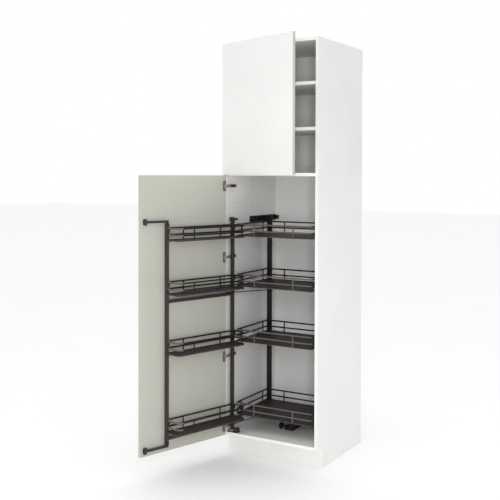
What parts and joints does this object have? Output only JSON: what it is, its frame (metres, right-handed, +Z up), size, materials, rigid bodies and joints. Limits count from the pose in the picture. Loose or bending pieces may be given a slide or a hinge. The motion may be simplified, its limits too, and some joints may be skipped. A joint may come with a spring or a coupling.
{
  "type": "pull out larder unit",
  "caption": "Tall white kitchen cabinet whose lower door swings out a tray frame and draws rear trays forward, with shelves behind an upper door.",
  "frame": {"origin": "on the floor, under the middle of the box round the unit with its lower door 107 degrees and its upper door 20 degrees open", "axes": "+Z up, front of the cabinet towards -Y, +X to the right seen from the front, hinges on the left"},
  "size_m": [0.785, 1.1986, 2.4003],
  "materials": {
    "white_laminate": "white laminate on particle board, satin",
    "interior_laminate": "pale grey laminate on particle board, matt",
    "dark_metal": "dark brown-black powder coat, satin",
    "tray_board": "dark brown laminated board with a faint grain",
    "black_plastic": "black moulded plastic",
    "hinge_cup_metal": "grey zinc plate",
    "hinge_arm_metal": "brown zinc plate"
  },
  "bodies": {
    "carcass": {"side_panel_left": "white_laminate", "side_panel_right": "white_laminate", "bottom_panel": "interior_laminate", "middle_panel": "interior_laminate", "top_panel": "white_laminate", "back_panel": "interior_laminate", "shelf_1": "interior_laminate", "shelf_2": "interior_laminate", "plinth": "white_laminate", "leg_front_left": "black_plastic", "leg_front_right": "black_plastic", "leg_rear_left": "black_plastic", "leg_rear_right": "black_plastic", "lower_hinge_arm_1": "hinge_arm_metal", "lower_hinge_arm_2": "hinge_arm_metal", "lower_hinge_arm_3": "hinge_arm_metal", "lower_hinge_arm_4": "hinge_arm_metal", "upper_hinge_arm_1": "hinge_arm_metal", "upper_hinge_arm_2": "hinge_arm_metal", "pivot_bracket_top": "black_plastic", "pivot_bracket_bottom": "black_plastic", "slide_rail": "dark_metal"},
    "lower_door": {"lower_door": "white_laminate", "lower_hinge_cup_1": "hinge_cup_metal", "lower_hinge_cup_2": "hinge_cup_metal", "lower_hinge_cup_3": "hinge_cup_metal", "lower_hinge_cup_4": "hinge_cup_metal", "door_bracket_top": "black_plastic", "door_bracket_bottom": "black_plastic"},
    "upper_door": {"upper_door": "white_laminate", "upper_hinge_cup_1": "hinge_cup_metal", "upper_hinge_cup_2": "hinge_cup_metal"},
    "front_frame": {"pivot_post": "dark_metal", "outer_post": "dark_metal", "crossbar_middle": "dark_metal", "crossbar_bottom": "dark_metal", "front_tray_1": "tray_board", "front_tray_2": "tray_board", "front_tray_3": "tray_board", "front_tray_4": "tray_board", "front_rails_1": "dark_metal", "front_rails_2": "dark_metal", "front_rails_3": "dark_metal", "front_rails_4": "dark_metal"},
    "rear_frame": {"rear_post_left": "dark_metal", "rear_post_right": "dark_metal", "rear_crossbar": "dark_metal", "rear_tray_1": "tray_board", "rear_tray_2": "tray_board", "rear_tray_3": "tray_board", "rear_tray_4": "tray_board", "rear_rails_1": "dark_metal", "rear_rails_2": "dark_metal", "rear_rails_3": "dark_metal", "rear_rails_4": "dark_metal"},
    "trolley_wheel": {"trolley_wheel": "black_plastic"},
    "coupling_rod_middle": {"coupling_rod_middle": "dark_metal"},
    "coupling_rod_bottom": {"coupling_rod_bottom": "dark_metal"},
    "door_arm_top": {"door_arm_top": "dark_metal"},
    "door_arm_bottom": {"door_arm_bottom": "dark_metal"}
  },
  "joints": [
    {"name": "lower_door_hinge", "type": "hinge", "parent": "carcass", "child": "lower_door", "pos_m": [-0.20904, -0.02321, 0.8763], "axis": [0, 0, -1], "range_deg": [-107.05, 2.95]},
    {"name": "upper_door_hinge", "type": "hinge", "parent": "carcass", "child": "upper_door", "pos_m": [-0.20904, -0.02321, 2.0193], "axis": [0, 0, -1], "range_deg": [-20.16, 89.84]},
    {"name": "front_frame_pivot", "type": "hinge", "parent": "carcass", "child": "front_frame", "pos_m": [-0.17154, 0.00929, 0.76], "axis": [0, 0, -1], "range_deg": [-107.25, 3.15]},
    {"name": "rear_frame_slide", "type": "slide", "parent": "carcass", "child": "rear_frame", "axis": [0, -1, 0], "range_m": [-0.1002, 0.003]},
    {"name": "trolley_wheel_roll", "type": "hinge", "parent": "rear_frame", "child": "trolley_wheel", "pos_m": [0.05346, 0.20229, 0.1536], "axis": [1, 0, 0], "range_deg": [-278.34, 7.72]},
    {"name": "coupling_rod_middle_crank", "type": "hinge", "parent": "front_frame", "child": "coupling_rod_middle", "pos_m": [-0.13457, -0.04071, 0.961], "axis": [0, 0, -1], "range_deg": [-3.15, 107.25]},
    {"name": "coupling_rod_bottom_crank", "type": "hinge", "parent": "front_frame", "child": "coupling_rod_bottom", "pos_m": [-0.13457, -0.04071, 0.195], "axis": [0, 0, -1], "range_deg": [-3.15, 107.25]},
    {"name": "door_arm_top_pin", "type": "hinge", "parent": "lower_door", "child": "door_arm_top", "pos_m": [-0.35774, -0.57799, 1.384], "axis": [0, 0, -1], "range_deg": [-0.31, 9.32]},
    {"name": "door_arm_bottom_pin", "type": "hinge", "parent": "lower_door", "child": "door_arm_bottom", "pos_m": [-0.35774, -0.57799, 0.1495], "axis": [0, 0, -1], "range_deg": [-0.31, 9.32]}
  ],
  "couplings": [
    {"joint": "front_frame_pivot", "follows": "lower_door_hinge", "ratio": 1},
    {"joint": "rear_frame_slide", "follows": "lower_door_hinge", "m_per_rad": 0.053522},
    {"joint": "trolley_wheel_roll", "follows": "lower_door_hinge", "ratio": 2.5487},
    {"joint": "coupling_rod_middle_crank", "follows": "lower_door_hinge", "ratio": -1},
    {"joint": "coupling_rod_bottom_crank", "follows": "lower_door_hinge", "ratio": -1},
    {"joint": "door_arm_top_pin", "follows": "lower_door_hinge", "ratio": -0.084917},
    {"joint": "door_arm_bottom_pin", "follows": "lower_door_hinge", "ratio": -0.084917}
  ]
}
